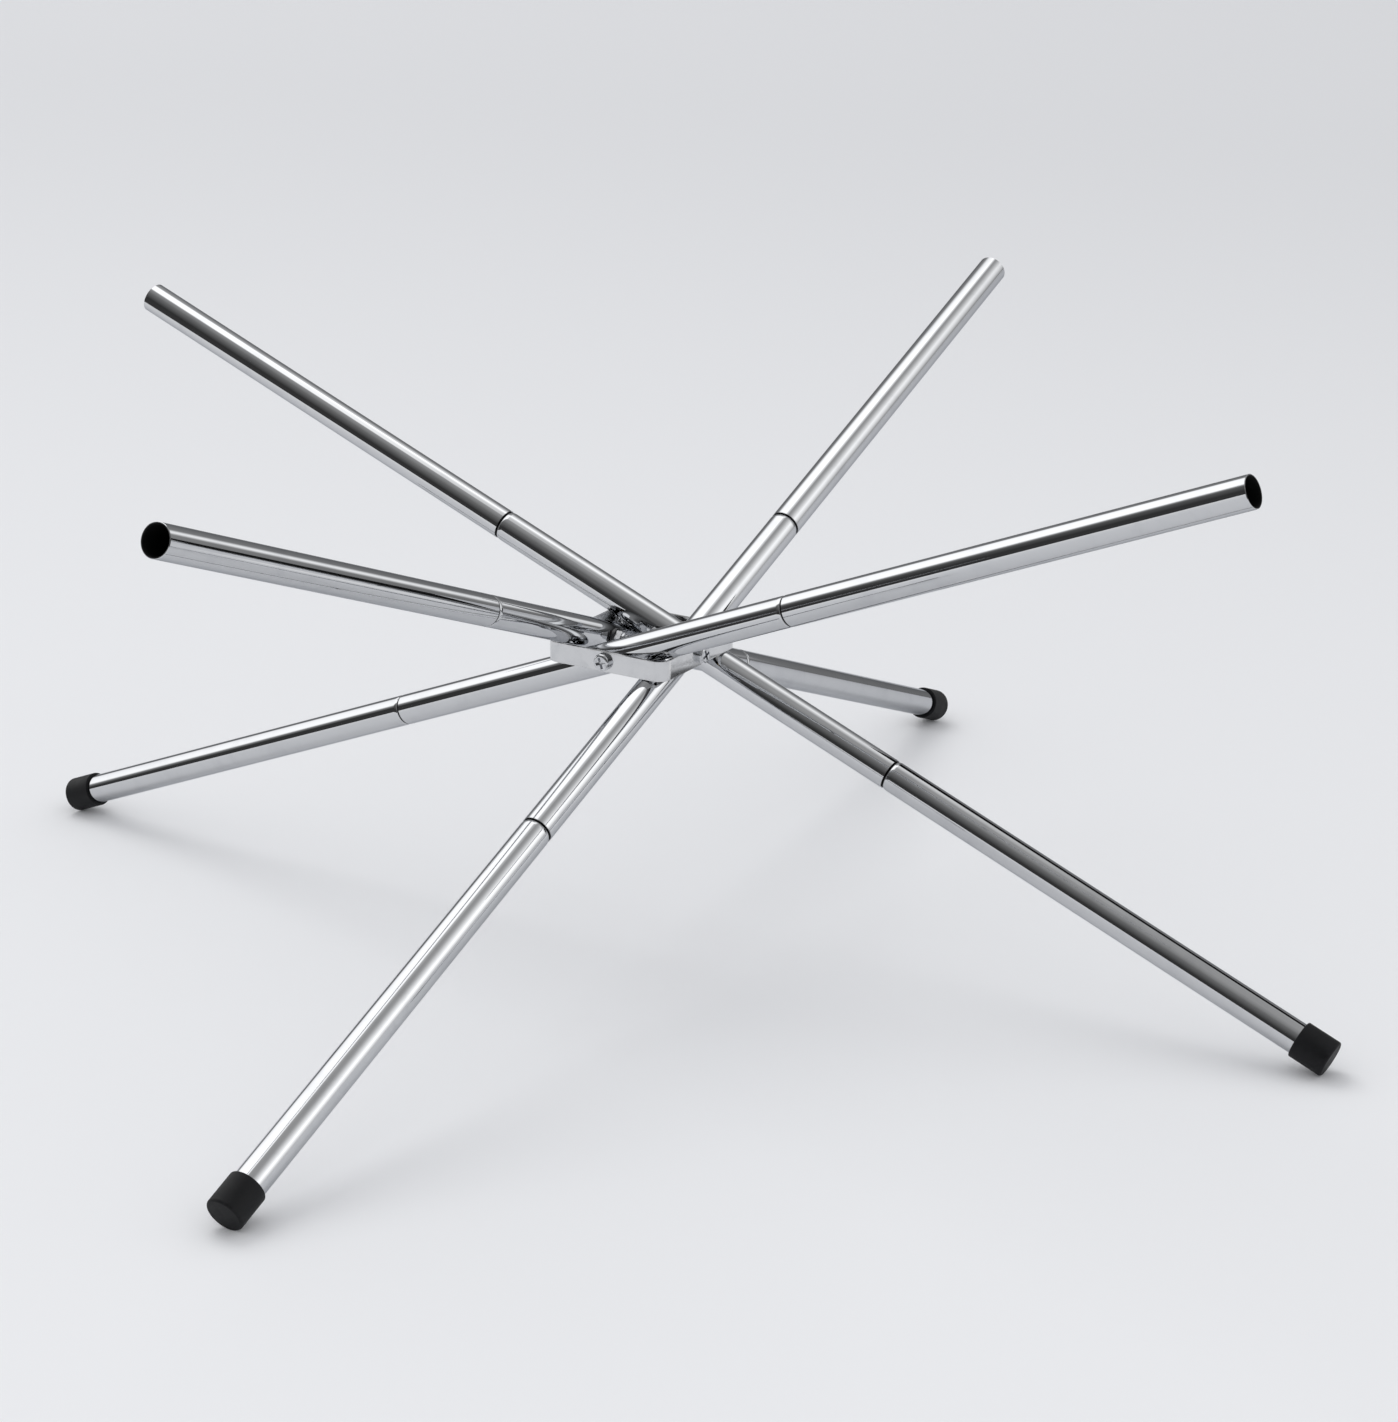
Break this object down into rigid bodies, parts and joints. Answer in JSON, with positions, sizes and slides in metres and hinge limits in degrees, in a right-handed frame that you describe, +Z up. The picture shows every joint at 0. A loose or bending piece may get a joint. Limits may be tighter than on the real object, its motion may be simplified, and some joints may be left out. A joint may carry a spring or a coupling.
{
  "type": "folding tube stand",
  "caption": "Folding stand of crossed chrome tubes pivoting in a square sheet-metal hub, with rubber foot caps and open raised ends that hold a skein or hoop.",
  "frame": {"origin": "on the ground under the middle of the hub", "axes": "+Z up; leg 1 rises towards +X, leg 2 towards +Y, leg 3 towards -X and leg 4 towards -Y"},
  "size_m": [0.748, 0.748, 0.3007],
  "materials": {
    "tube_chrome": "polished chrome plate, with faint drawing lines along the tube",
    "hub_chrome": "chrome plate over bent sheet, a little duller than the tubes",
    "cap_rubber": "moulded matt black rubber",
    "screw_steel": "bright zinc plate",
    "spigot_steel": "turned steel, slightly dark",
    "washer_nylon": "black nylon",
    "bush_brass": "plain turned brass"
  },
  "bodies": {
    "root": {"hub_band": "hub_chrome", "outer_washer_1": "washer_nylon", "inner_washer_1": "washer_nylon", "pivot_screw_1": "screw_steel", "lock_nut_1": "screw_steel", "outer_washer_2": "washer_nylon", "inner_washer_2": "washer_nylon", "pivot_screw_2": "screw_steel", "lock_nut_2": "screw_steel", "outer_washer_3": "washer_nylon", "inner_washer_3": "washer_nylon", "pivot_screw_3": "screw_steel", "lock_nut_3": "screw_steel", "outer_washer_4": "washer_nylon", "inner_washer_4": "washer_nylon", "pivot_screw_4": "screw_steel", "lock_nut_4": "screw_steel"},
    "leg_1": {"middle_tube_1": "tube_chrome", "upper_spigot_1": "spigot_steel", "pivot_bush_1": "bush_brass"},
    "upper_section_1": {"upper_tube_1": "tube_chrome"},
    "lower_section_1": {"lower_tube_1": "tube_chrome", "lower_spigot_1": "spigot_steel", "foot_cap_1": "cap_rubber"},
    "leg_2": {"middle_tube_2": "tube_chrome", "upper_spigot_2": "spigot_steel", "pivot_bush_2": "bush_brass"},
    "upper_section_2": {"upper_tube_2": "tube_chrome"},
    "lower_section_2": {"lower_tube_2": "tube_chrome", "lower_spigot_2": "spigot_steel", "foot_cap_2": "cap_rubber"},
    "leg_3": {"middle_tube_3": "tube_chrome", "upper_spigot_3": "spigot_steel", "pivot_bush_3": "bush_brass"},
    "upper_section_3": {"upper_tube_3": "tube_chrome"},
    "lower_section_3": {"lower_tube_3": "tube_chrome", "lower_spigot_3": "spigot_steel", "foot_cap_3": "cap_rubber"},
    "leg_4": {"middle_tube_4": "tube_chrome", "upper_spigot_4": "spigot_steel", "pivot_bush_4": "bush_brass"},
    "upper_section_4": {"upper_tube_4": "tube_chrome"},
    "lower_section_4": {"lower_tube_4": "tube_chrome", "lower_spigot_4": "spigot_steel", "foot_cap_4": "cap_rubber"}
  },
  "joints": [
    {"name": "leg_fold_1", "type": "hinge", "parent": "root", "child": "leg_1", "pos_m": [0, -0.0243, 0.1582], "axis": [0, -1, 0], "range_deg": [0, 68]},
    {"name": "leg_fold_2", "type": "hinge", "parent": "root", "child": "leg_2", "pos_m": [0.0243, 0, 0.1582], "axis": [1, 0, 0], "range_deg": [0, 68]},
    {"name": "leg_fold_3", "type": "hinge", "parent": "root", "child": "leg_3", "pos_m": [0, 0.0243, 0.1582], "axis": [0, 1, 0], "range_deg": [0, 68]},
    {"name": "leg_fold_4", "type": "hinge", "parent": "root", "child": "leg_4", "pos_m": [-0.0243, 0, 0.1582], "axis": [-1, 0, 0], "range_deg": [0, 68]},
    {"name": "upper_pull_1", "type": "slide", "parent": "leg_1", "child": "upper_section_1", "axis": [0.9272, 0, 0.3746], "range_m": [0, 0.045]},
    {"name": "lower_pull_1", "type": "slide", "parent": "leg_1", "child": "lower_section_1", "axis": [-0.9272, 0, -0.3746], "range_m": [0, 0.045]},
    {"name": "upper_pull_2", "type": "slide", "parent": "leg_2", "child": "upper_section_2", "axis": [0, 0.9272, 0.3746], "range_m": [0, 0.045]},
    {"name": "lower_pull_2", "type": "slide", "parent": "leg_2", "child": "lower_section_2", "axis": [0, -0.9272, -0.3746], "range_m": [0, 0.045]},
    {"name": "upper_pull_3", "type": "slide", "parent": "leg_3", "child": "upper_section_3", "axis": [-0.9272, 0, 0.3746], "range_m": [0, 0.045]},
    {"name": "lower_pull_3", "type": "slide", "parent": "leg_3", "child": "lower_section_3", "axis": [0.9272, 0, -0.3746], "range_m": [0, 0.045]},
    {"name": "upper_pull_4", "type": "slide", "parent": "leg_4", "child": "upper_section_4", "axis": [0, -0.9272, 0.3746], "range_m": [0, 0.045]},
    {"name": "lower_pull_4", "type": "slide", "parent": "leg_4", "child": "lower_section_4", "axis": [0, 0.9272, -0.3746], "range_m": [0, 0.045]}
  ]
}
